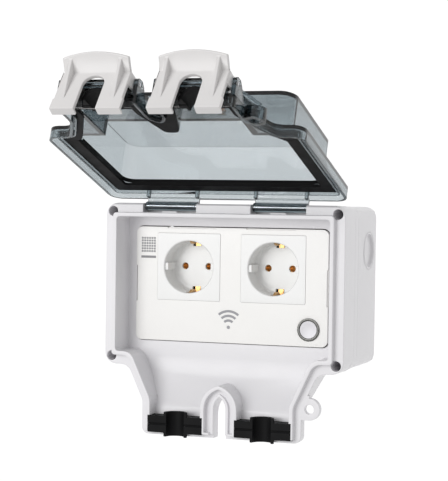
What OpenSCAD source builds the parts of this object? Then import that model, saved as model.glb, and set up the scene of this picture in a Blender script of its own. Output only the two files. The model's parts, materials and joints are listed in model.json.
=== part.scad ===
// Weatherproof wall box with two earthed smart socket outlets under a hinged, latched lid.
// X runs to the right, Y runs from the room into the wall, Z runs up.
// The origin is the centre of the face that lies on the wall.

/* [Housing] */
// Width of the front housing
housing_w = 187; // [176:1:230]
// Height of the front housing above its funnel
housing_h = 121.5; // [112:0.5:150]
// Depth of the back box
back_box_d = 51; // [40:1:65]
// Depth of the front housing, from the back box to the seam with the lid
front_d = 37; // [32:1:45]
// Radius of the housing's four upright corners
housing_r = 9; // [6:0.5:14]
// Wall thickness of the housings
wall = 2.6; // [2:0.1:3.2]
// Width of the rim round the recess
rim_w = 10.2; // [9.5:0.1:12]
// Depth of the recess, from the seam to its floor
recess_d = 20; // [18:0.5:24]
// Step in from the front housing to the back box
back_step = 0.5; // [0.5:0.1:2.5]

/* [Funnel and cable exits] */
// Half width of the funnel at the exits
funnel_half = 62.5; // [61.5:0.5:66]
// Length of the funnel below the housing
funnel_drop = 51.25; // [48:0.25:60]
// Angle of the funnel's sloping sides from upright
funnel_slope = 25; // [20:1:30]
// Width of the rim on the funnel
funnel_rim = 8; // [7.5:0.1:9]
// Distance from the middle to the centre of each cable exit
exit_x = 34; // [33.5:0.1:36]
// Radius of the cable hole in the seals
cable_r = 7; // [4:0.5:7.5]
// Half width of the slot between the two exits
notch_half = 4.65; // [4:0.05:4.9]

/* [Lid] */
// Angle to which the lid is open
lid_open = 110; // [0:1:110]
// Depth of the lid's flange
flange_d = 9; // [8:0.5:12]
// Height of the lid's dome above the seam
dome_h = 38.4; // [34:0.2:50]
// Wall thickness of the lid
lid_wall = 2.4; // [2:0.1:3]
// Radius of the dome's upright corners
dome_r = 11; // [8:0.5:16]
// Height of the sealing lip
lip_h = 4.6; // [3.5:0.1:5]
// Width of the sealing lip
lip_w = 3; // [2.4:0.1:3.4]
// Height of the cable hoods above the seam
hood_h = 19.8; // [18.5:0.1:22]

/* [Latches] */
// Angle to which each latch is open
latch_open = 19; // [0:1:88]
// Width of a latch at its feet
latch_w = 50; // [49:0.1:50]
// Length of a latch from its fold to its feet
latch_l = 31.6; // [31.5:0.1:33]
// Length of the thumb tab at its middle
tab_l = 13.5; // [12:0.5:18]
// Width of the slot for the cable in a latch
latch_slot_w = 15.4; // [15:0.1:18]

/* [Smart outlet module] */
// Width of the face panel
panel_w = 152; // [124:1:154]
// Height of the face panel
panel_h = 86; // [84:0.5:88]
// Side of a square socket insert
insert_w = 50.5; // [48:0.5:54]
// Distance between the two sockets
socket_pitch = 67; // [62:0.5:72]
// Radius of the round socket cup
cup_r = 19.6; // [19.5:0.05:20]
// Depth of the socket cup
cup_d = 17.5; // [17:0.1:18]
// Rounding between the wall of the cup and its floor
cup_round = 2.5; // [1:0.1:3]
// Distance between the two pin holes
pin_pitch = 19; // [18.8:0.1:19.2]
// Radius of a pin hole
pin_hole_r = 2.6; // [2.5:0.05:3]
// Outer radius of the button's ring
ring_r = 8.5; // [7.5:0.1:10]
// Travel of the button
button_travel = 1.2; // [0.8:0.1:1.5]

/* [Screws and pins] */
// Radius of the counterbores over the housing screws
screw_well_r = 3.7; // [3.5:0.1:4.2]
// Radius of the hinge and latch pins
pin_r = 1.5; // [1.2:0.1:1.8]
// Distance across between the wall screws
wall_hole_x = 150; // [120:1:156]
// Distance up between the wall screws
wall_hole_z = 80; // [60:1:88]
// Radius of the holes for the wall screws
wall_hole_r = 2.7; // [2.2:0.1:3.2]

/* [Hidden] */
$fn = 48;
eps = 0.02;
gap = 0.3;                       // between pieces that only pass each other
fit = 0.05;                      // radial clearance round a turning pin
snug = 0.1;                      // between pieces that seat in each other

body_depth = back_box_d + front_d;
seam_y = -body_depth;
half_w = housing_w / 2;
half_h = housing_h / 2;
funnel_z = -half_h - funnel_drop;
seal_inset = 4.5;                // from the front housing's outline to the gasket behind it
seal_w = 2.2;
seal_t = 1.3;
seal_inner_r = 8.4;
rim_inner = 7.5;
groove_d = front_d - 10;         // groove along the side of the front housing
knockout_d = 29.5;               // from the joint between the housings
knockout_z = half_h - 33.5;
knockout_r = 12.4;
knockout_in = 1.6;               // how far the disc of a knockout is let in
knockout_rim = 1.8;
wiring_d = 20;                   // space for the supply cores behind the outlet module
knee_z = -half_h - 26.2;
ramp_top = knee_z + 20.5;        // ends of the floor's slope, inside
ramp_low = knee_z - 5;
ramp_r1 = 9;
ramp_r2 = 12;
foot_r = 5;

screw_x = half_w - 5.5;
screw_z = half_h - 6.25;
screw_r = 2;
screw_head_r = 3.4;
screw_seat = front_d - 8;
post_r = 5.2;

floor_back = recess_d + wall;
exit_d = 6.6;                    // depth of the recess at the exits
exit_back = exit_d + lid_wall;

// Central slot: pointed arches, all springing from one height
arch_z = funnel_z + 21.5;
arch_top = 9.2;
slot_wall = 2.35;
notch_lip_half = notch_half + slot_wall + 4.3 + lip_w;

hinge_d = 5.9;
hinge_z = half_h - 2.1;
knuckle_r = 3.3;
knuckle_x1 = half_w - 30.3;
knuckle_x0 = knuckle_x1 - 41.2;
pocket_gap = 0.6;
pocket_d = 12;
pocket_z = half_h - rim_w + lip_w + 0.4;
pocket_mid = (knuckle_x0 + knuckle_x1) / 2;
pin_grip = 3;

lip_face = -lip_h;
top_bevel = 1.2;
lip_low_z = funnel_z + lid_wall + 0.3;
slot_rim_face = -2;
lid_seam = -0.2;                 // the lid stops just short of the housing's face
dome_x = half_w - 13.7;
dome_top_z = half_h - 14.4;
dome_low_z = -half_h + 10.75;

gasket_out = rim_w - lip_w - 0.5;
gasket_in = rim_w + 6.9;
gasket_out_f = funnel_rim - lip_w - 0.5;
gasket_in_f = funnel_rim + 0.5;
plate_back = -(flange_d - lid_wall + 0.2);
lid_skirt = 2.2;                 // thickness of the flange's rim and of the hoods
tongue_half = notch_half + 6.9;  // half width of the tongue between the hoods, and of its tip
tongue_tip = 3;
tongue_z = arch_z + 31;

pivot_d = -17.5;
pivot_z = funnel_z + 4.8;
cheek_t = 2.4;
cheek_x = latch_w / 2 - cheek_t;
hood_half = cheek_x - gap;
ear_in = latch_w / 2 + 0.7;
beam_d = -14.5;
seal_in = hood_half - 0.9;       // reach of a cable seal on each side of its exit
seal_out = hood_half - 0.2;
seal_low = funnel_z + 2;
seal_top = funnel_z + 14.7;
hub_r = cable_r + 2.3;           // round hub of the seal, and the hole it sits in

plate_t = 3;
fold_d = -20.3;
latch_z = funnel_z - 1.9;        // inner face of a latched plate
fold_z = latch_z - plate_t;
tab_angle = 122;
tab_t = 2.4;
gusset_up = 9.2;                 // reach of the gussets along the tab and along the plate
gusset_down = 23;
latch_slot_d = fold_d + 2.6;     // crown of the slot for the cable

panel_d = recess_d - 2.2;
panel_t = floor_back - panel_d;
panel_r = 4.5;
panel_gap = 0.6;
edge_slot_w = 0.9;
edge_slot_half = 13.5;
socket_z = panel_h / 2 - 29.9;
insert_d = panel_d - 0.3;
insert_t = 3;
cup_wall = 2.2;
cup_floor = insert_d + cup_d;
cup_back = cup_floor + cup_wall;
button_x = panel_w / 2 - 14.4;
button_z = -panel_h / 2 + 12.5;
cap_r = ring_r - 2;
cap_d = panel_d - 0.6;
sleeve_d = panel_d + 3.6;
wifi_x = -1;
wifi_z = -panel_h / 2 + 11.8;
strip_w = (panel_w - socket_pitch - insert_w) / 2;    // bare panel beside the left socket
label_w = min(12, strip_w - 1.4);
label_x0 = -panel_w / 2 + 0.7 * (strip_w - label_w);
label_z0 = panel_h / 2 - 19.7;
label_t = 0.12;
label_bar = [4.2, 2.4];          // lower and upper edge of the bar, below the grid

module_d = panel_d + panel_t;
module_wall = 2;
module_w = panel_w / 2 - 3;
module_h = panel_h / 2 - 2;
module_ear_x = module_w + 5;
module_ear_z = module_h - 14;
module_screw_r = 1.5;
module_back = body_depth - wall - wiring_d;
board_t = 1.6;
board_d = module_back - 10;
parts_z = -panel_h / 2 + 6;      // lower edge of what stands on the main board
supply_x = -panel_w / 2 + 14;    // left edge of the transformer

ear_x = funnel_half + 6;
ear_z = knee_z + 0.3;
ear_r = 8;
ear_hole_r = 3.4;
ear_t = 5;

// ---- outlines, drawn in X and Z ----

function unit(v) = v / norm(v);

// Arc of radius r that rounds the corner b of the path a, b, c
function fillet(a, b, c, r, n) =
    let (u = unit(a - b), v = unit(c - b), half = acos(u * v) / 2,
        mid = b + unit(u + v) * r / sin(half),
        p = b + u * r / tan(half) - mid, q = b + v * r / tan(half) - mid,
        a0 = atan2(p[1], p[0]), turn = atan2(q[1], q[0]) - a0,
        sweep = turn > 180 ? turn - 360 : turn < -180 ? turn + 360 : turn)
    [for (i = [0:n]) mid + r * [cos(a0 + sweep * i / n), sin(a0 + sweep * i / n)]];

// Polygon with each corner [x, z, radius] rounded
function rounded(c, n = 6) =
    [for (i = [0:len(c) - 1])
        let (a = c[(i + len(c) - 1) % len(c)], b = c[i], d = c[(i + 1) % len(c)])
        each (b[2] > 0
            ? fillet([a[0], a[1]], [b[0], b[1]], [d[0], d[1]], b[2], n)
            : [[b[0], b[1]]])];

function mirrored(c) = concat(c, [for (i = [len(c) - 1:-1:0]) [-c[i][0], c[i][1], c[i][2]]]);

function rect(x0, x1, z0, z1, r, n = 6) =
    rounded([[x1, z1, r], [x1, z0, r], [x0, z0, r], [x0, z1, r]], n);

// Rectangle drawn in by g from the front housing's outline
function inset_rect(g, r) = rect(-half_w + g, half_w - g, -half_h + g, half_h - g, r);

// Outline of housing and funnel, drawn in by g on the housing and by f on the funnel
function outline(g, f, bottom) =
    let (knee = knee_z + f * tan(funnel_slope / 2), shoulder = -half_h + g,
        top_r = max(housing_r - g, 2.5))
    rounded(mirrored([
        [half_w - g, half_h - g, top_r],
        [half_w - g, shoulder, top_r],
        [funnel_half - f + (shoulder - knee) * tan(funnel_slope), shoulder, ramp_r1],
        [funnel_half - f, knee, ramp_r2],
        [funnel_half - f, bottom, bottom > funnel_z + eps ? 1 : foot_r]]), 5);

// Pointed arch of half width w, down to bottom
function arch(w, bottom) =
    let (rise = arch_top + (w - notch_half) * 0.88,
        r = (w * w + rise * rise) / (2 * w), a = asin(rise / r))
    concat([[w, bottom]], [for (i = [0:8]) [w - r + r * cos(a * i / 8), arch_z + r * sin(a * i / 8)]],
        [for (i = [7:-1:0]) [r - w - r * cos(a * i / 8), arch_z + r * sin(a * i / 8)]], [[-w, bottom]]);

// ---- placing helpers: depth is counted from the seam towards the wall ----

module plate(d0, d1)
    translate([0, seam_y + d1, 0]) rotate([90, 0, 0]) linear_extrude(d1 - d0) children();
module side_prism(x0, x1, points)
    translate([x0, seam_y, 0]) rotate([90, 0, 90]) linear_extrude(x1 - x0) polygon(points);
module block(x0, x1, d0, d1, z0, z1)
    translate([x0, seam_y + d0, z0]) cube([x1 - x0, d1 - d0, z1 - z0]);
module rod_y(x, z, r, d0, d1)
    translate([x, seam_y + d1, z]) rotate([90, 0, 0]) cylinder(r = r, h = d1 - d0);
module rod_x(d, z, r, x0, x1)
    translate([x0, seam_y + d, z]) rotate([0, 90, 0]) cylinder(r = r, h = x1 - x0);
module rod_z(x, d, r, z0, z1)
    translate([x, seam_y + d, z0]) cylinder(r = r, h = z1 - z0);
module both() { children(); mirror([1, 0, 0]) children(); }
module at_corners(x, z) for (i = [-1, 1], j = [-1, 1]) translate([i * x, 0, j * z]) children();
module lid_pose()
    translate([0, seam_y + hinge_d, hinge_z]) rotate([-lid_open, 0, 0])
        translate([0, -seam_y - hinge_d, -hinge_z]) children();
module latch_pose()
    translate([0, seam_y + pivot_d, pivot_z]) rotate([-latch_open, 0, 0])
        translate([0, -seam_y - pivot_d, -pivot_z]) children();

// ---- housing ----

module back_box() color("gainsboro") {
    w = half_w - back_step;
    h = half_h - back_step;
    r = housing_r - back_step / 2;
    joint = front_d;
    back = body_depth;
    difference() {
        union() {
            difference() {
                plate(joint, back) polygon(rect(-w, w, -h, h, r));
                plate(joint - 1, back - wall)
                    polygon(rect(-w + wall, w - wall, -h + wall, h - wall, r - wall));
            }
            // thick rim that carries the gasket
            difference() {
                plate(joint, joint + 4) polygon(rect(-w, w, -h, h, r));
                plate(joint - 1, joint + 5) polygon(inset_rect(rim_inner, seal_inner_r));
            }
            at_corners(screw_x, screw_z) rod_y(0, 0, post_r - 1, joint, back - wall / 2);
            at_corners(wall_hole_x / 2, wall_hole_z / 2) rod_y(0, 0, 7, back - wall - 1.4, back);
            // rings of the side knockouts
            both() difference() {
                rod_x(joint + knockout_d, knockout_z, knockout_r + knockout_rim, w - wall - 1.4, w + 0.4);
                rod_x(joint + knockout_d, knockout_z, knockout_r, w - wall - 2, w + 1);
            }
            // ribs on the back wall
            for (x = [-45, 0, 45]) block(x - 0.9, x + 0.9, back - wall - 4, back - wall + eps, -h + 1, h - 1);
        }
        plate(joint - 1, joint + seal_t) difference() {
            polygon(inset_rect(seal_inset - snug, seal_inner_r + seal_w));
            polygon(inset_rect(seal_inset + seal_w + snug, seal_inner_r));
        }
        at_corners(screw_x, screw_z) rod_y(0, 0, screw_r, joint - 1, back - 15);
        at_corners(wall_hole_x / 2, wall_hole_z / 2) rod_y(0, 0, wall_hole_r, back - wall - 3, back + 1);
        both() rod_x(joint + knockout_d, knockout_z, knockout_r, w - knockout_in, w + 1);
    }
}

// The gasket runs inside the four corner screws
module housing_gasket() color("black")
    plate(front_d, front_d + seal_t) difference() {
        polygon(inset_rect(seal_inset, seal_inner_r + seal_w));
        polygon(inset_rect(seal_inset + seal_w, seal_inner_r));
    }

module recess_cut() {
    // the floor is level behind the panel and ramps forward to the exits
    difference() {
        intersection() {
            plate(-lip_h - 5, recess_d) polygon(outline(rim_w, funnel_rim, funnel_z + lid_wall));
            side_prism(-half_w, half_w, [
                [-lip_h - 9, half_h], [recess_d, half_h], [recess_d, ramp_top],
                [exit_d, ramp_low], [exit_d, funnel_z], [-lip_h - 9, funnel_z]]);
        }
        plate(-lip_h - 6, recess_d + 1) polygon(arch(notch_lip_half, funnel_z - 1));
    }
}

module front_housing() color("whitesmoke") difference() {
    union() {
        plate(0, groove_d) polygon(inset_rect(0, housing_r));
        plate(groove_d - eps, groove_d + 1) polygon(inset_rect(1, housing_r - 1));
        plate(groove_d + 1 - eps, front_d) polygon(inset_rect(0.4, housing_r - 0.4));
        intersection() {
            plate(0, floor_back + wall) polygon(outline(0, 0, funnel_z));
            side_prism(-half_w, half_w, [
                [0, 0], [floor_back, 0], [floor_back, ramp_top - 0.9],
                [exit_back, ramp_low - 1.2], [exit_back, funnel_z - 1], [0, funnel_z - 1]]);
        }
        plate(lip_face, eps) difference() {
            polygon(outline(rim_w - lip_w, funnel_rim - lip_w, lip_low_z));
            polygon(outline(rim_w, funnel_rim, funnel_z - 1));
        }
        intersection() {
            plate(lip_face, floor_back) polygon(arch(notch_lip_half, lip_low_z));
            side_prism(-half_w, half_w, [
                [lip_face, 0], [floor_back, 0], [floor_back, ramp_top - 0.9],
                [exit_back, ramp_low - 1.2], [exit_back, funnel_z], [lip_face, funnel_z]]);
        }
        // eye for a padlock
        rod_y(ear_x, ear_z, ear_r, 0, ear_t);
        block(funnel_half - 2, ear_x, 0, ear_t, ear_z - ear_r, ear_z + ear_r + 2);
    }
    recess_cut();
    // groove in the lip round the slot, and the slot itself
    plate(lip_face - 1, 0) difference() {
        polygon(arch(notch_lip_half - lip_w, lip_low_z + 1.5));
        polygon(arch(notch_half + slot_wall, funnel_z + 1));
    }
    plate(lip_face - 1, slot_rim_face) polygon(arch(notch_half + slot_wall + 0.2, funnel_z - 1));
    plate(lip_face - 1, front_d) polygon(arch(notch_half, funnel_z - 2));
    // seats of the two cable seals
    both() {
        block(exit_x - seal_in, exit_x + seal_out, lip_face - 1, exit_d, seal_low, seal_top);
        rod_z(exit_x, lip_face, hub_r, funnel_z - 1, seal_low + 1);
        // hinge pocket with a snap tab at its foot, and the bores for the hinge pin
        difference() {
            block(knuckle_x0 - pocket_gap, knuckle_x1 + pocket_gap, -1, pocket_d, pocket_z, half_h + 1);
            block(pocket_mid - 6, pocket_mid + 6, 0, 2.2, pocket_z - 1, pocket_z + 0.9);
        }
        rod_x(hinge_d, hinge_z, pin_r, knuckle_x0 - pocket_gap - pin_grip,
            knuckle_x1 + pocket_gap + pin_grip);
    }
    rod_y(ear_x, ear_z, ear_hole_r, -1, ear_t + 1);
    // bevel along the top edge, which the lid's flange swings past
    side_prism(-half_w - 1, half_w + 1, [[-1, half_h + 1], [top_bevel, half_h + 1],
        [top_bevel, half_h], [0, half_h - top_bevel], [-1, half_h - top_bevel]]);
    // hollow behind the recess
    difference() {
        plate(floor_back, front_d + 1) polygon(inset_rect(rim_inner, seal_inner_r));
        at_corners(screw_x, screw_z) rod_y(0, 0, post_r, 0, front_d + 2);
    }
    // pilot holes for the module's screws
    at_corners(module_ear_x, module_ear_z)
        rod_y(0, 0, module_screw_r + fit, floor_back - 2, floor_back + 1);
    // opening for the face panel
    plate(recess_d - 1, floor_back + 1) polygon(rect(-panel_w / 2 - panel_gap, panel_w / 2 + panel_gap,
        -panel_h / 2 - panel_gap, panel_h / 2 + panel_gap, panel_r + panel_gap));
    at_corners(screw_x, screw_z) {
        rod_y(0, 0, screw_well_r, -1, screw_seat);
        rod_y(0, 0, screw_r + gap, screw_seat - 1, front_d + 1);
    }
}

module housing_screws() color("dimgray") at_corners(screw_x, screw_z) difference() {
    union() {
        rod_y(0, 0, screw_head_r, screw_seat - 3, screw_seat);
        rod_y(0, 0, screw_r - fit, screw_seat - eps, front_d + 20);
    }
    for (a = [0, 90]) translate([0, seam_y + screw_seat - 3.1, 0]) rotate([0, a, 0])
        translate([-2.2, 0, -0.5]) cube([4.4, 1.6, 1]);
}

// ---- cable seals ----

// Half of a split rubber seal: d0 is its face, d1 its back
module seal_half(x, d0, d1, z0, z1) {
    low = min(d0, d1);
    high = max(d0, d1);
    face = d0 < d1 ? low : high;
    v = 1.3;
    difference() {
        union() {
            block(x - seal_in + snug, x + seal_out - snug, low, high, z0, z1);
            intersection() {
                block(x - hub_r + 2 * snug, x + hub_r - 2 * snug, low, high, z0 - 2.8, z1 + 3.2);
                rod_z(x, lip_face, hub_r - snug, z0 - 2.8, z1 + 3.2);
            }
        }
        rod_z(x, lip_face, cable_r, z0 - 4, z1 + 4);
        // mid-height groove across both end blocks
        translate([0, seam_y + face, (z0 + z1) / 2]) rotate([45, 0, 0])
            translate([x - 23, -v / 2, -v / 2]) cube([46, v, v]);
        // notch in the outer end
        rod_y(x + seal_out + gap, (z0 + z1) / 2, 1.4, low - 1, high + 1);
    }
}

module base_seal() seal_half(exit_x, lip_face + snug, exit_d - snug, seal_low + snug, seal_top - snug);
module lid_seal() seal_half(exit_x, lip_face - snug, beam_d + snug, seal_low + snug, seal_top - snug);
module cable_seal_left() color("black") mirror([1, 0, 0]) base_seal();
module cable_seal_right() color("black") base_seal();
module lid_cable_seal_left() color("black") lid_pose() mirror([1, 0, 0]) lid_seal();
module lid_cable_seal_right() color("black") lid_pose() lid_seal();

// ---- smart outlet module ----

module both_sockets() for (s = [-1, 1]) translate([s * socket_pitch / 2, 0, socket_z]) children();
module socket_left() translate([-socket_pitch / 2, 0, socket_z]) children();
module socket_right() translate([socket_pitch / 2, 0, socket_z]) children();

// Slots along the panel's edge, where a blade lifts it out
module edge_slots(t0, t1) {
    both() block(socket_pitch / 2 - 21.5, socket_pitch / 2 + 17.5, t0, t1,
        panel_h / 2 - edge_slot_w, panel_h / 2 + 1);
    both() block(panel_w / 2 - edge_slot_w, panel_w / 2 + 1, t0, t1, -edge_slot_half, edge_slot_half);
}

module wifi_mark(d0, d1) {
    half_angle = 40;
    plate(d0, d1) translate([wifi_x, wifi_z]) {
        circle(r = 1.25);
        for (r = [5.9, 9.4, 12.9]) polygon(concat(
            [for (i = [0:12]) let (a = 90 - half_angle + i * half_angle / 6) r * [cos(a), sin(a)]],
            [for (i = [12:-1:0]) let (a = 90 - half_angle + i * half_angle / 6)
                (r - 1.7) * [cos(a), sin(a)]]));
    }
}

module smart_panel() color("white") difference() {
    plate(panel_d, panel_d + panel_t)
        polygon(rect(-panel_w / 2, panel_w / 2, -panel_h / 2, panel_h / 2, panel_r));
    both_sockets() {
        plate(panel_d - 1, panel_d + insert_t)
            polygon(rect(-insert_w / 2 - snug, insert_w / 2 + snug,
                -insert_w / 2 - snug, insert_w / 2 + snug, 1));
        rod_y(0, 0, cup_r + cup_wall + snug, panel_d, panel_d + panel_t + 1);
    }
    edge_slots(panel_d - 1, panel_d + 1.6);
    wifi_mark(panel_d - 1, panel_d + 0.4);
    rod_y(button_x, button_z, ring_r - 1 + snug, panel_d - 1, panel_d + panel_t + 1);
}

module socket_insert() color("white") difference() {
    union() {
        plate(insert_d, panel_d + insert_t - snug)
            polygon(rect(-insert_w / 2, insert_w / 2, -insert_w / 2, insert_w / 2, 0.8));
        rod_y(0, 0, cup_r + cup_wall, panel_d, cup_back);
    }
    // cup, rounded at its floor
    translate([0, seam_y + cup_floor, 0]) rotate([90, 0, 0]) rotate_extrude() polygon(concat(
        [[0, cup_d + 1], [0, 0]],
        [for (a = [0:15:90]) [cup_r - cup_round * (1 - sin(a)), cup_round * (1 - cos(a))]],
        [[cup_r, cup_d + 1]]));
    // lead-in at the mouth of the cup
    translate([0, seam_y + insert_d, 0]) rotate([90, 0, 0])
        translate([0, 0, -0.6]) cylinder(r1 = cup_r, r2 = cup_r + 1.2, h = 1.2);
    for (s = [-1, 1]) {
        rod_y(s * pin_pitch / 2, 0, pin_hole_r, cup_floor - 1, cup_back + 1);
        // slots for the earth clips
        block(-3.3, 3.3, insert_d + 1, cup_back + 1, s * (cup_r - 1.2) - 3, s * (cup_r - 1.2) + 3);
    }
}

// Guide rails at both sides of the cup belong to the insert
module socket_with_rails() color("white") {
    socket_insert();
    for (s = [-1, 1]) intersection() {
        block(s > 0 ? cup_r - 2.4 : -cup_r - 0.5, s > 0 ? cup_r + 0.5 : -cup_r + 2.4,
            insert_d + 1.6, cup_floor + 0.5, -2.7, 2.7);
        rod_y(0, 0, cup_r + 0.5, insert_d + 1, cup_back);
    }
}
module socket_insert_left() socket_left() socket_with_rails();
module socket_insert_right() socket_right() socket_with_rails();

// One bent brass strip: a bridge behind the cup and a sprung clip at each end
module earth_strap() color("goldenrod") {
    t = 0.8;
    r0 = cup_r - 0.4;
    bridge = cup_back + 0.4;
    for (s = [-1, 1]) {
        side_prism(-1.2, 1.2, [for (p = [
            [bridge + t, r0 - 3], [bridge + t, r0 + t], [insert_d + 5.5, r0 + t], [insert_d + 4, r0 + 1.9],
            [insert_d + 3.2, r0 + 1.6], [insert_d + 4.6, r0], [insert_d + 7.5, r0 - 1.9],
            [insert_d + 11, r0 - 1.9], [insert_d + 14, r0], [bridge, r0], [bridge, r0 - 3]])
            [p[0], s * p[1]]]);
        // shoulders of the clip, behind its sprung tip
        block(-2.7, 2.7, insert_d + 13.6, cup_back - 1, s * (r0 + t / 2) - t / 2, s * (r0 + t / 2) + t / 2);
    }
    block(-2.2, 2.2, bridge, bridge + t, -r0 - t, r0 + t);
}
module earth_strap_left() socket_left() earth_strap();
module earth_strap_right() socket_right() earth_strap();

module live_contacts() color("darkgoldenrod")
    for (s = [-1, 1]) translate([s * pin_pitch / 2, 0, 0]) difference() {
        union() {
            rod_y(0, 0, 3.2, cup_back + 0.1, cup_back + 9);
            block(-0.5, 0.5, cup_back + 8, board_d, -2, 2);
        }
        rod_y(0, 0, 2.3, cup_back - 1, cup_back + 8);
        block(-0.4, 0.4, cup_back - 1, cup_back + 6, -4, 4);
    }
module live_contacts_left() socket_left() live_contacts();
module live_contacts_right() socket_right() live_contacts();

module wifi_symbol() color("silver") wifi_mark(panel_d - 0.1, panel_d + 0.4);

// Plain grid of squares over a plain bar
module info_label() color("darkgray") {
    n = 6;
    cell = label_w / n;
    gap = 0.15 * cell;
    for (i = [0:n - 1], j = [0:n - 1])
        block(label_x0 + i * cell + gap, label_x0 + (i + 1) * cell - gap, panel_d - label_t, panel_d,
            label_z0 + j * cell + gap, label_z0 + (j + 1) * cell - gap);
    block(label_x0, label_x0 + label_w, panel_d - label_t, panel_d,
        label_z0 - label_bar[0], label_z0 - label_bar[1]);
}

module button_ring() color("slategray") difference() {
    union() {
        rod_y(button_x, button_z, ring_r, panel_d - 0.9, panel_d);
        rod_y(button_x, button_z, ring_r - 1, panel_d - 0.5, sleeve_d);
    }
    rod_y(button_x, button_z, cap_r + 0.15, panel_d - 2, sleeve_d + 1);
}

module power_button() color("lavender") difference() {
    union() {
        rod_y(button_x, button_z, cap_r, cap_d, sleeve_d + 1.2);
        rod_y(button_x, button_z, cap_r + 0.9, sleeve_d + 0.2, sleeve_d + 1.2);
        rod_y(button_x, button_z, 2.4, sleeve_d + 1, module_d + 5);
    }
    // shallow dish in the face
    translate([button_x, seam_y + cap_d - 29.4, button_z]) sphere(r = 30, $fn = 96);
}

switch_d = module_d + 5 + button_travel + 0.15;
board2_d = switch_d + 4;

module button_board() color("seagreen")
    block(button_x - 11, button_x + 8.5, board2_d, board2_d + board_t, button_z - 7.5, button_z + 7.5);

// Two spacers between the button's board and the main board
module board_spacers() color("ivory")
    for (z = [-5, 5]) rod_y(button_x - 6, button_z + z, 1.6, board2_d + board_t, board_d);

module tact_switch() color("dimgray") {
    block(button_x - 3, button_x + 3, switch_d + 0.6, board2_d, button_z - 3, button_z + 3);
    rod_y(button_x, button_z, 1.7, switch_d, switch_d + 1);
}

module status_led() color("deepskyblue")
    rod_y(button_x - 8.5, button_z + 5, 1.5, switch_d + 1.4, board2_d);

module module_housing() color("silver") {
    w = module_w;
    h = module_h;
    difference() {
        union() {
            plate(module_d, module_back) polygon(rect(-w, w, -h, h, 3));
            for (s = [-1, 1]) both()
                block(w - 1, w + 8, module_d, module_d + 2.5, s * module_ear_z - 5, s * module_ear_z + 5);
        }
        plate(module_d - 1, module_back - module_wall)
            polygon(rect(-w + module_wall, w - module_wall, -h + module_wall, h - module_wall, 2));
        at_corners(module_ear_x, module_ear_z)
            rod_y(0, 0, module_screw_r + fit, module_d - 1, module_d + 4);
        for (x = [-9, 0, 9]) rod_y(x, h - 12, 1.8, module_back - 3, module_back + 1);
    }
    at_corners(w - 6, h - 6) rod_y(0, 0, 2.5, board_d + board_t, module_back - 1);
}

module module_screws() color("silver") at_corners(module_ear_x, module_ear_z) {
    rod_y(0, 0, 2.8, module_d + 2.5, module_d + 4.3);
    rod_y(0, 0, module_screw_r, floor_back - 1.8, module_d + 3);
}

module main_board() color("darkgreen")
    plate(board_d, board_d + board_t)
        polygon(rect(-panel_w / 2 + 6, panel_w / 2 - 6, -panel_h / 2 + 5, panel_h / 2 - 5, 2));

module relay(x) color("royalblue")
    block(x - 9.5, x + 9.5, board_d - 15.5, board_d, parts_z, parts_z + 15.5);
module relay_left() relay(-17);
module relay_right() relay(17);
module transformer() color("gold") {
    block(supply_x, supply_x + 20, board_d - 14, board_d, parts_z, parts_z + 17);
    block(supply_x + 3, supply_x + 17, board_d - 16, board_d - 13, parts_z + 3, parts_z + 14);
}
module capacitor() color("navy") rod_y(supply_x + 10, parts_z + 23, 2.4, board_d - 11, board_d);
module wifi_module() color("seagreen") {
    block(-9, 9, board_d - 0.9, board_d, -12, 12);
    block(-7, 7, board_d - 3.2, board_d - 0.8, -11, 5);
}

module terminal_block() color("ivory") difference() {
    z = panel_h / 2 - 14;
    block(-14, 14, module_back, module_back + 14, z - 9, z + 9);
    for (x = [-9, 0, 9]) {
        rod_y(x, z + 3, 2.4, module_back + 5, module_back + 15);
        rod_z(x, module_back + 6, 1.9, z - 10, z + 2);
    }
}
module terminal_screws() color("silver") {
    z = panel_h / 2 - 14;
    for (x = [-9, 0, 9]) difference() {
        rod_y(x, z + 3, 2.35, module_back + 8, module_back + 12);
        block(x - 2.5, x + 2.5, module_back + 11, module_back + 13, z + 2.6, z + 3.4);
    }
}

// ---- lid, drawn closed and then turned open ----

module lid_outline(g) difference() {
    polygon(outline(g, g, funnel_z + g));
    polygon(arch(notch_half + 0.25 + g, funnel_z - 1));
}

// Tongue round the slot, between the two hoods, drawn out by g
function tongue(g) = [[tongue_half + g, funnel_z, 0], [tongue_half + g, arch_z + 1, 12],
    [tongue_tip + g, tongue_z + g, tongue_tip + g - 0.5]];

// Outline of both hoods, drawn in by g
module hoods(d0, d1, g)
    plate(d0, d1) difference() {
        polygon(rect(-exit_x - hood_half + g, exit_x + hood_half - g, funnel_z + g,
            dome_low_z + lid_skirt + 1, 0));
        polygon(rounded(mirrored([for (i = [2:-1:0]) tongue(g)[i]])));
    }

function dome_hole(g) = rect(-dome_x + lid_wall + g, dome_x - lid_wall - g, dome_low_z + lid_wall + g,
    dome_top_z - lid_wall - g, dome_r - lid_wall - g, 8);

module gasket_path(out) difference() {
    g = out ? gasket_out : gasket_in;
    f = out ? gasket_out_f : gasket_in_f;
    polygon(outline(g, f, funnel_z + (out ? lid_skirt + 0.2 : 6)));
    if (out) polygon(arch(notch_half + slot_wall + 0.6, funnel_z - 1));
    else polygon(rounded(mirrored([for (i = [2:-1:0]) tongue(lid_skirt - snug)[i]])));
}

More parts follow.
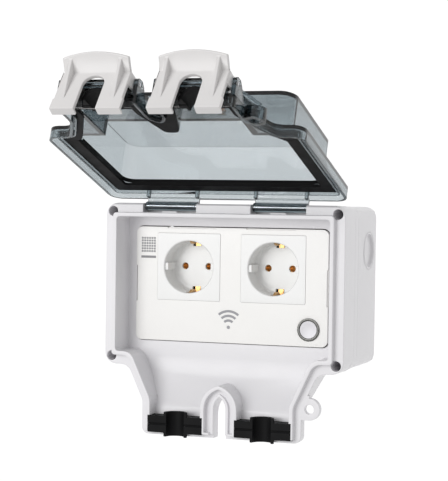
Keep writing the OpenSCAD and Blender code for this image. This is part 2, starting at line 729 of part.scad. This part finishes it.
module lid_closed() difference() {
    union() {
        difference() {
            union() {
                plate(-flange_d, lid_seam) lid_outline(0);
                // eye that meets the padlock eye of the housing
                rod_y(ear_x, ear_z, ear_r - 0.5, -flange_d, lid_seam);
                block(funnel_half - 1, ear_x, -flange_d, lid_seam, ear_z - 5, ear_z + 7);
            }
            plate(plate_back, 1) lid_outline(lid_skirt);
        }
        // rib that keeps the gasket in place
        difference() {
            plate(plate_back - eps, -2.6) difference() {
                polygon(outline(gasket_out - 1.4, gasket_out_f - 1.4, funnel_z + 0.6));
                polygon(outline(gasket_out - snug, gasket_out_f - snug, funnel_z + lid_skirt + snug));
            }
            plate(-flange_d, 0) polygon(arch(notch_lip_half, funnel_z - 1));
        }
        plate(-dome_h, plate_back) polygon(rect(-dome_x, dome_x, dome_low_z, dome_top_z, dome_r, 8));
        hoods(-hood_h, plate_back, 0);
        both() {
            // ears that carry the latch pins
            for (x = [exit_x - ear_in - 2.9, exit_x + ear_in])
                side_prism(x, x + 2.9, [[-flange_d + 1, funnel_z],
                    [-19.5, funnel_z], [-21, funnel_z + 2], [-21, funnel_z + 7.5],
                    [-18, funnel_z + 11], [-flange_d + 1, funnel_z + 18]]);
            // fin from the latch ear to the dome
            side_prism(exit_x + ear_in - 3.4, exit_x + ear_in - 1.8, [[-flange_d + 1, dome_low_z + 2],
                [-dome_h + 9, dome_low_z + 2], [-hood_h, funnel_z + 12], [-flange_d + 1, funnel_z + 12]]);
            // knuckle, its web and the two end ribs
            rod_x(hinge_d, hinge_z, knuckle_r, knuckle_x0, knuckle_x1);
            block(knuckle_x0, knuckle_x1, -1.5, hinge_d, hinge_z + 0.6, half_h + 0.6);
            for (x = [knuckle_x0, knuckle_x1 - 2])
                block(x, x + 2, plate_back - eps, -0.3, half_h - gasket_out + 0.5, half_h - 1);
        }
    }
    // inside of the dome, and of the two hoods that open into it
    plate(-dome_h + lid_wall, 1) polygon(dome_hole(0));
    difference() {
        hoods(-hood_h + lid_wall, 1, lid_skirt);
        block(-half_w, half_w, -hood_h, beam_d, funnel_z - 1, funnel_z + 9.5);
    }
    both() {
        block(exit_x - seal_in, exit_x + seal_out, -12, 1, seal_top, seal_top + 5.3);
        block(exit_x - seal_in, exit_x + seal_out, beam_d, 1, seal_low, seal_top);
        rod_z(exit_x, lip_face, hub_r, funnel_z - 1, seal_low + 1);
        rod_x(pivot_d, pivot_z, pin_r, exit_x - 30, exit_x + ear_in + 5);
        rod_x(hinge_d, hinge_z, pin_r + fit, knuckle_x0 - 1, knuckle_x1 + 1);
    }
    // room for the raised rim of the slot in the housing
    plate(slot_rim_face - gap, 1) polygon(arch(notch_half + slot_wall + gap, funnel_z - 1));
    rod_y(ear_x, ear_z, ear_hole_r, -flange_d - 1, 1);
}
module lid_shell() color("slategray", 0.5) lid_pose() lid_closed();

// Ring with a groove that the sealing lip presses into
module lid_gasket() color("black") lid_pose() difference() {
    union() {
        difference() {
            plate(plate_back, lip_face - 0.15) gasket_path(true);
            plate(plate_back - 1, 1) gasket_path(false);
        }
        // skirt that lines the edge of the dome's opening
        plate(-flange_d - 0.6, plate_back + eps) difference() {
            polygon(dome_hole(snug));
            polygon(dome_hole(1));
            polygon(rect(-dome_x, dome_x, dome_low_z, dome_low_z + 14, 0));
        }
    }
    both() block(exit_x - seal_in - snug, exit_x + seal_out + snug, -20, 1, funnel_z - 1, seal_top + snug);
}

module hinge_pin() rod_x(hinge_d, hinge_z, pin_r - 0.02,
    knuckle_x0 - pocket_gap - pin_grip + 0.2, knuckle_x1 + pocket_gap + pin_grip - 0.2);
module hinge_pin_left() color("silver") mirror([1, 0, 0]) hinge_pin();
module hinge_pin_right() color("silver") hinge_pin();

// ---- latches, drawn latched at the right and then turned open ----

module latch_tab() {
    edge = latch_w / 2 - 1.3;
    crown = 3.7;
    path = [for (i = [0:12]) let (x = -1 + i / 6) [x * edge, tab_l - crown * x * x]];
    translate([exit_x, seam_y + fold_d, fold_z]) rotate([180 + 180 - tab_angle, 0, 0])
        translate([0, 0, -tab_t]) linear_extrude(tab_t)
            polygon(concat([[edge, -1.2], [-edge, -1.2]], path));
}

module latch_body() {
    foot = fold_d + latch_l;
    slot_r = latch_slot_w / 2;
    edge = latch_w / 2;
    difference() {
        union() {
            block(exit_x - edge + 0.8, exit_x + edge - 0.8, fold_d, foot - 7, fold_z, latch_z);
            block(exit_x - edge, exit_x + edge, foot - 9, foot, fold_z, latch_z);
            latch_tab();
            // hooks that grip behind the lower edge of the housing
            block(exit_x - edge, exit_x + edge, exit_back + 0.5, foot, latch_z - eps, funnel_z + 1.4);
            // cheeks that turn on the pin
            for (x = [exit_x - edge, exit_x + cheek_x]) {
                rod_x(pivot_d, pivot_z, 4.6, x, x + cheek_t);
                side_prism(x, x + cheek_t, [[fold_d + 0.2, fold_z + 0.5], [pivot_d - 4.6, pivot_z],
                    [pivot_d + 4.6, pivot_z], [pivot_d + 8, fold_z + 0.5]]);
            }
            // gussets between tab and plate
            for (s = [-1, 1]) side_prism(exit_x + s * 17.7 - 1.1, exit_x + s * 17.7 + 1.1, [
                [fold_d - 1, fold_z + 1], [fold_d + gusset_down, fold_z + 0.2],
                [fold_d + gusset_down, fold_z], [fold_d - gusset_up * sin(tab_angle - 90),
                    fold_z - gusset_up * cos(tab_angle - 90)]]);
        }
        block(exit_x - slot_r, exit_x + slot_r, latch_slot_d + slot_r, foot + 1, fold_z - 1, funnel_z + 3);
        translate([exit_x, seam_y + latch_slot_d + slot_r, fold_z - 1])
            cylinder(r = slot_r, h = plate_t + 2);
        rod_x(pivot_d, pivot_z, pin_r + fit, exit_x - edge - 1, exit_x + edge + 1);
    }
}
module latch_right() color("white") lid_pose() latch_pose() latch_body();
module latch_left() color("white") lid_pose() mirror([1, 0, 0]) latch_pose() latch_body();

module latch_pin() rod_x(pivot_d, pivot_z, pin_r - 0.02, exit_x - ear_in - 2.6, exit_x + ear_in + 2.6);
module latch_pin_left() color("silver") lid_pose() mirror([1, 0, 0]) latch_pin();
module latch_pin_right() color("silver") lid_pose() latch_pin();

back_box();
housing_gasket();
front_housing();
housing_screws();
cable_seal_left();
cable_seal_right();
smart_panel();
socket_insert_left();
socket_insert_right();
earth_strap_left();
earth_strap_right();
live_contacts_left();
live_contacts_right();
wifi_symbol();
info_label();
button_ring();
power_button();
button_board();
board_spacers();
tact_switch();
status_led();
module_housing();
module_screws();
main_board();
relay_left();
relay_right();
transformer();
capacitor();
wifi_module();
terminal_block();
terminal_screws();
lid_shell();
lid_gasket();
lid_cable_seal_left();
lid_cable_seal_right();
hinge_pin_left();
hinge_pin_right();
latch_left();
latch_right();
latch_pin_left();
latch_pin_right();
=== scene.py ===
"""Looks of the weatherproof smart socket box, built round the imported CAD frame."""
import json
import math

import bmesh
import bpy
import numpy as np
from mathutils import Matrix, Vector
from mathutils.bvhtree import BVHTree
from mathutils.geometry import delaunay_2d_cdt


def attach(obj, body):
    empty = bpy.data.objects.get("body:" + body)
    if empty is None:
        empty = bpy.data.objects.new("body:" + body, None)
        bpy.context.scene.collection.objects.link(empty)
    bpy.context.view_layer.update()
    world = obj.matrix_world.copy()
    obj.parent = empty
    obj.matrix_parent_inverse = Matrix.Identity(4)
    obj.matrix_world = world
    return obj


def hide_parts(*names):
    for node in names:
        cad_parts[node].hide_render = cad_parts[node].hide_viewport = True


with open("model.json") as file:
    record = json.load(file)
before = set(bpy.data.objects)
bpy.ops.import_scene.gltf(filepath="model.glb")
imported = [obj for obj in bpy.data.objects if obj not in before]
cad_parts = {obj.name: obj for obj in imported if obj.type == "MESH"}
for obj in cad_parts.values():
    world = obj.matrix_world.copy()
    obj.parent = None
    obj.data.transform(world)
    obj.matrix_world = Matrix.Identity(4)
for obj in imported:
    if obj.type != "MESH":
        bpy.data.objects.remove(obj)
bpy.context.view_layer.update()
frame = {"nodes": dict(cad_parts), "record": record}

MM = 0.001
WELD = 0.002 * MM           # corners of the CAD mesh closer than this are one
FLATNESS = 0.004 * MM       # how far a flat side's corners may lie from its plane
SLIVER = 0.001 * MM * MM    # faces smaller than this have no reliable normal
SHARP = math.radians(34)    # edges that turn more than this are rounded
STRAY = 0.6                 # share of the rounding that a corner may leave the CAD surface by
RECORD = frame["record"]
SLOT = {row["node"]: row["material_slot"] for row in RECORD["subparts"]}
BODY = {node: body for body, nodes in RECORD["behaviour"]["bodies"].items() for node in nodes}


# ---- materials ----

def new_material(name):
    """A material with its node tree and its main shader."""
    mat = bpy.data.materials.new(name)
    mat.use_nodes = True
    return mat, mat.node_tree, mat.node_tree.nodes["Principled BSDF"]


def noise(tree, scale, detail=3.0, rough=0.5):
    """Noise in the piece's own coordinates, so that it stays with the piece as it moves."""
    place = tree.nodes.new("ShaderNodeTexCoord")
    node = tree.nodes.new("ShaderNodeTexNoise")
    node.inputs["Scale"].default_value = scale
    node.inputs["Detail"].default_value = detail
    node.inputs["Roughness"].default_value = rough
    tree.links.new(place.outputs["Object"], node.inputs["Vector"])
    return node.outputs["Fac"]


def spread(tree, source, low, high, start=0.3, end=0.7):
    """Maps a noise value from start..end to low..high."""
    node = tree.nodes.new("ShaderNodeMapRange")
    for key, value in (("From Min", start), ("From Max", end), ("To Min", low), ("To Max", high)):
        node.inputs[key].default_value = value
    tree.links.new(source, node.inputs["Value"])
    return node.outputs["Result"]


def tint(tree, source, dark, light):
    """Mixes two close shades of a colour by a noise value."""
    ramp = tree.nodes.new("ShaderNodeValToRGB")
    ramp.color_ramp.elements[0].position = 0.35
    ramp.color_ramp.elements[1].position = 0.65
    ramp.color_ramp.elements[0].color = (*dark, 1)
    ramp.color_ramp.elements[1].color = (*light, 1)
    tree.links.new(source, ramp.inputs["Fac"])
    return ramp.outputs["Color"]


def bump(tree, shader, source, depth, strength):
    """Gives a surface a relief of the stated depth."""
    node = tree.nodes.new("ShaderNodeBump")
    node.inputs["Distance"].default_value = depth
    node.inputs["Strength"].default_value = strength
    tree.links.new(source, node.inputs["Height"])
    tree.links.new(node.outputs["Normal"], shader.inputs["Normal"])


def plastic(name, color, rough=0.25, grain=0.004, shade=0.02, metal=0.0, spec=0.5, size=7000):
    """Moulded plastic: a little unevenness in colour and gloss, and a fine grain."""
    mat, tree, shader = new_material(name)
    shader.inputs["Metallic"].default_value = metal
    shader.inputs["Specular IOR Level"].default_value = spec
    dark = [c * (1 - shade) for c in color]
    light = [min(c * (1 + shade), 1) for c in color]
    tree.links.new(tint(tree, noise(tree, 35, 4), dark, light), shader.inputs["Base Color"])
    tree.links.new(spread(tree, noise(tree, 90, 2), rough * 0.93, rough * 1.07), shader.inputs["Roughness"])
    bump(tree, shader, noise(tree, size, 2), grain * MM, 0.25)
    return mat


def smoked(name, absorb=(0.265, 0.36, 0.40), density=345.0):
    """Clear smoked polycarbonate, which darkens with the length of the way through it."""
    mat, tree, shader = new_material(name)
    shader.inputs["Base Color"].default_value = (1, 1, 1, 1)
    shader.inputs["Transmission Weight"].default_value = 1
    shader.inputs["IOR"].default_value = 1.58
    tree.links.new(spread(tree, noise(tree, 60, 3), 0.0, 0.03), shader.inputs["Roughness"])
    bump(tree, shader, noise(tree, 45, 2), 0.02 * MM, 0.3)
    body = tree.nodes.new("ShaderNodeVolumeAbsorption")
    body.inputs["Color"].default_value = (*absorb, 1)
    body.inputs["Density"].default_value = density
    tree.links.new(body.outputs["Volume"], tree.nodes["Material Output"].inputs["Volume"])
    return mat


MATERIALS = {
    "housing_plastic": plastic("housing_plastic", (0.80, 0.79, 0.81), 0.3, shade=0.006),
    "panel_plastic": plastic("panel_plastic", (0.90, 0.89, 0.87), 0.24, shade=0.005),
    "socket_plastic": plastic("socket_plastic", (0.86, 0.86, 0.85), 0.2, shade=0.005),
    "smoked_lid": smoked("smoked_lid"),
    "seal_rubber": plastic("seal_rubber", (0.004, 0.004, 0.0045), 0.6, 0.02, 0.25, spec=0.15, size=2500),
    "latch_plastic": plastic("latch_plastic", (0.73, 0.715, 0.71), 0.36, 0.01, 0.006, size=4000),
    "screw_steel": plastic("screw_steel", (0.30, 0.30, 0.31), 0.35, metal=1, shade=0.1),
    "pin_steel": plastic("pin_steel", (0.55, 0.55, 0.57), 0.25, metal=1, shade=0.08),
    # Brass colour, made darker than bare brass as painted shade for the pin holes
    "contact_brass": plastic("contact_brass", (0.66, 0.40, 0.17), 0.28, metal=1, shade=0.12),
    "ring_chrome": plastic("ring_chrome", (0.10, 0.10, 0.095), 0.2, metal=1, shade=0.05),
    "button_plastic": plastic("button_plastic", (0.80, 0.79, 0.82), 0.3, shade=0.01),
    "print_grey": plastic("print_grey", (0.34, 0.34, 0.36), 0.5, shade=0.03),
    "label_grey": plastic("label_grey", (0.30, 0.30, 0.31), 0.6, shade=0.05),
    # Nearly black inner plastic is painted shade, so that the gaps round the panel and the pin holes look
    # dark
    "inner_plastic": plastic("inner_plastic", (0.02, 0.02, 0.021), 0.6, 0.01, 0.15, spec=0.3),
    "board_green": plastic("board_green", (0.02, 0.20, 0.09), 0.35, shade=0.1),
    "part_black": plastic("part_black", (0.03, 0.03, 0.03), 0.45, shade=0.1),
    "relay_blue": plastic("relay_blue", (0.03, 0.10, 0.38), 0.4, shade=0.05),
    "winding_yellow": plastic("winding_yellow", (0.75, 0.55, 0.08), 0.5, shade=0.1),
    "sleeve_navy": plastic("sleeve_navy", (0.02, 0.04, 0.16), 0.4, shade=0.05),
    "terminal_ivory": plastic("terminal_ivory", (0.72, 0.69, 0.60), 0.45, shade=0.03),
    "lens_clear": plastic("lens_clear", (0.55, 0.75, 0.95), 0.15),
}


# ---- shapes ----

def flat_regions(shape):
    """Groups of joined faces that lie in one plane, each with the plane's normal."""
    seen = set()
    for seed in sorted(shape.faces, key=lambda face: -face.calc_area()):
        if seed.index in seen:
            continue
        normal = seed.normal.copy()
        level = normal.dot(seed.verts[0].co)
        seen.add(seed.index)
        region = [seed]
        todo = [seed]
        while todo:
            for near in dict.fromkeys(face for edge in todo.pop().edges for face in edge.link_faces):
                if near.index in seen:
                    continue
                if any(abs(normal.dot(vert.co) - level) > FLATNESS for vert in near.verts):
                    continue
                if abs(normal.dot(near.normal)) < 0.95 and near.calc_area() > SLIVER:
                    continue
                seen.add(near.index)
                region.append(near)
                todo.append(near)
        if len(region) > 3:
            yield region, normal


def fill(shape, region, normal):
    """Replaces a flat region's faces with an even triangulation between its outline and holes."""
    inside = set(region)
    # dict.fromkeys keeps the mesh's own order, so that each run gives the same triangles
    edges = dict.fromkeys(edge for face in region for edge in face.edges)
    rim = [edge for edge in edges if sum(face in inside for face in edge.link_faces) == 1]
    verts = list(dict.fromkeys(vert for edge in rim for vert in edge.verts))
    place = {vert: i for i, vert in enumerate(verts)}
    across = normal.orthogonal().normalized()
    along = normal.cross(across)
    level = normal.dot(verts[0].co)
    flat = [Vector((vert.co.dot(across), vert.co.dot(along))) / MM for vert in verts]
    pairs = [(place[edge.verts[0]], place[edge.verts[1]]) for edge in rim]
    spots, _, triangles, origin, _, _ = delaunay_2d_cdt(flat, pairs, [], 0, 1e-5)
    ax, ay, bx, by = np.array([[*flat[a], *flat[b]] for a, b in pairs]).T
    kept = []
    for triangle in triangles:
        middle = sum((spots[i] for i in triangle), Vector((0, 0))) / 3
        cross = (ay > middle.y) != (by > middle.y)
        hits = ax[cross] + (middle.y - ay[cross]) * (bx - ax)[cross] / (by - ay)[cross]
        if (hits > middle.x).sum() % 2:
            kept.append(triangle)
    for face in region:
        shape.faces.remove(face)
    for edge in edges:
        if not edge.link_faces and edge not in rim:
            shape.edges.remove(edge)
    corner = {}
    for i in {i for triangle in kept for i in triangle}:
        spot = (across * spots[i].x + along * spots[i].y) * MM + normal * level
        corner[i] = verts[origin[i][0]] if origin[i] else shape.verts.new(spot)
    for triangle in kept:
        corners = [corner[i] for i in triangle]
        if len(set(corners)) == 3 and not shape.faces.get(corners):
            face = shape.faces.new(corners)
            face.normal_update()
            if face.normal.dot(normal) < 0:
                face.normal_flip()


def make_whole(shape):
    """Gives every flat side an even triangulation, without the long slivers of an exported solid."""
    shape.normal_update()
    shape.faces.index_update()
    for region, normal in list(flat_regions(shape)):
        fill(shape, region, normal)
    for vert in [vert for vert in shape.verts if not vert.link_faces]:
        shape.verts.remove(vert)
    shape.normal_update()


def moulded(node, edge):
    """A copy of a CAD node with its edges rounded, as a moulded piece has them."""
    mesh = frame["nodes"][node].data.copy()
    shape = bmesh.new()
    shape.from_mesh(mesh)
    skin = BVHTree.FromBMesh(shape)
    low = [min(vert.co[i] for vert in shape.verts) for i in range(3)]
    high = [max(vert.co[i] for vert in shape.verts) for i in range(3)]
    bmesh.ops.remove_doubles(shape, verts=shape.verts, dist=WELD)
    make_whole(shape)
    sharp = [e for e in shape.edges if e.is_manifold and e.calc_face_angle(0) > SHARP]
    bmesh.ops.bevel(shape, geom=sharp, offset=edge * MM, offset_type="OFFSET", segments=2,
                    profile=0.5, affect="EDGES", clamp_overlap=False, loop_slide=True)
    # A corner that rounding threw off goes back on the CAD surface, and none leaves the CAD box
    for vert in shape.verts:
        spot, _, _, distance = skin.find_nearest(vert.co)
        place = spot if distance > edge * MM * STRAY else vert.co
        vert.co = [min(max(place[i], low[i]), high[i]) for i in range(3)]
    make_whole(shape)
    shape.to_mesh(mesh)
    shape.free()
    mesh.materials.clear()
    mesh.materials.append(MATERIALS[SLOT[node]])
    mesh.polygons.foreach_set("use_smooth", [True] * len(mesh.polygons))
    piece = bpy.data.objects.new(node + "_moulded", mesh)
    bpy.context.scene.collection.objects.link(piece)
    piece.modifiers.new("normals", "WEIGHTED_NORMAL").keep_sharp = False
    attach(piece, BODY[node])
    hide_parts(node)


# Rounding of each moulded piece's edges, in millimetres
EDGES = {"front_housing": 0.4, "back_box": 0.6, "smart_panel": 0.15, "socket_insert_left": 0.2,
         "socket_insert_right": 0.2, "lid_shell": 0.3, "latch_left": 0.6, "latch_right": 0.6,
         "cable_seal_left": 0.3, "cable_seal_right": 0.3, "lid_cable_seal_left": 0.3,
         "lid_cable_seal_right": 0.3, "lid_gasket": 0.25, "button_ring": 0.25, "power_button": 0.2,
         "housing_screws": 0.15, "earth_strap_left": 0.12, "earth_strap_right": 0.12}
for node, edge in EDGES.items():
    moulded(node, edge)

for node, cad in frame["nodes"].items():
    if not cad.hide_render:
        cad.data.materials.clear()
        cad.data.materials.append(MATERIALS[SLOT[node]])


# ---- camera, light and backdrop ----

def turned(azimuth, elevation, roll):
    """Axes of a camera that looks level along +Y, after it is turned round, raised and rolled."""
    az, el, tilt = (math.radians(a) for a in (azimuth, elevation, roll))
    back = Vector((math.sin(az) * math.cos(el), -math.cos(az) * math.cos(el), math.sin(el)))
    right = Vector((math.cos(az), math.sin(az), 0))
    up = back.cross(right)
    x = math.cos(tilt) * right + math.sin(tilt) * up
    y = -math.sin(tilt) * right + math.cos(tilt) * up
    return Matrix((x, y, back)).transposed().to_4x4()


CAMERA_PLACE = (0.401098, -1.167363, 0.061165)
CAMERA_TURN = (20.33, 1.35, 0.82)       # azimuth, elevation and roll in degrees
HALF_WIDTH = 6                          # of the backdrop, in metres
BEHIND = 3
BOTTOM, TOP = -4, 5

camera = bpy.data.objects.new("camera", bpy.data.cameras.new("camera"))
bpy.context.scene.collection.objects.link(camera)
camera.data.lens = 117.3
camera.data.sensor_width = 36
camera.data.clip_start = 0.05
camera.data.clip_end = 30
camera.matrix_world = Matrix.Translation(CAMERA_PLACE) @ turned(*CAMERA_TURN)
bpy.context.scene.camera = camera

world = bpy.data.worlds.new("studio")
world.use_nodes = True
world.node_tree.nodes["Background"].inputs["Color"].default_value = (1, 1, 1, 1)
world.node_tree.nodes["Background"].inputs["Strength"].default_value = 0.62
bpy.context.scene.world = world
bpy.context.scene.view_settings.view_transform = "Standard"


def softbox(name, place, target, size, power):
    """A soft rectangular lamp turned to its target."""
    lamp = bpy.data.lights.new(name, "AREA")
    lamp.shape = "RECTANGLE"
    lamp.size, lamp.size_y = size
    lamp.energy = power
    thing = bpy.data.objects.new(name, lamp)
    bpy.context.scene.collection.objects.link(thing)
    thing.location = place
    thing.rotation_euler = (Vector(target) - Vector(place)).to_track_quat("-Z", "Y").to_euler()


def sheet(name, corners, glow):
    """A plain white studio sheet that glows evenly."""
    mesh = bpy.data.meshes.new(name)
    mesh.from_pydata(corners, [], [range(len(corners))])
    mat, tree, shader = new_material(name)
    shader.inputs["Base Color"].default_value = (0.8, 0.8, 0.8, 1)
    shader.inputs["Roughness"].default_value = 1
    shader.inputs["Emission Color"].default_value = (1, 1, 1, 1)
    shader.inputs["Emission Strength"].default_value = glow
    mesh.materials.append(mat)
    thing = bpy.data.objects.new(name, mesh)
    bpy.context.scene.collection.objects.link(thing)


softbox("key", (-0.9, -2.3, 0.45), (0, -0.1, 0), (1.4, 1.4), 26)
sheet("backdrop", [(-HALF_WIDTH, BEHIND, BOTTOM), (HALF_WIDTH, BEHIND, BOTTOM),
                   (HALF_WIDTH, BEHIND, TOP), (-HALF_WIDTH, BEHIND, TOP)], 0.5)
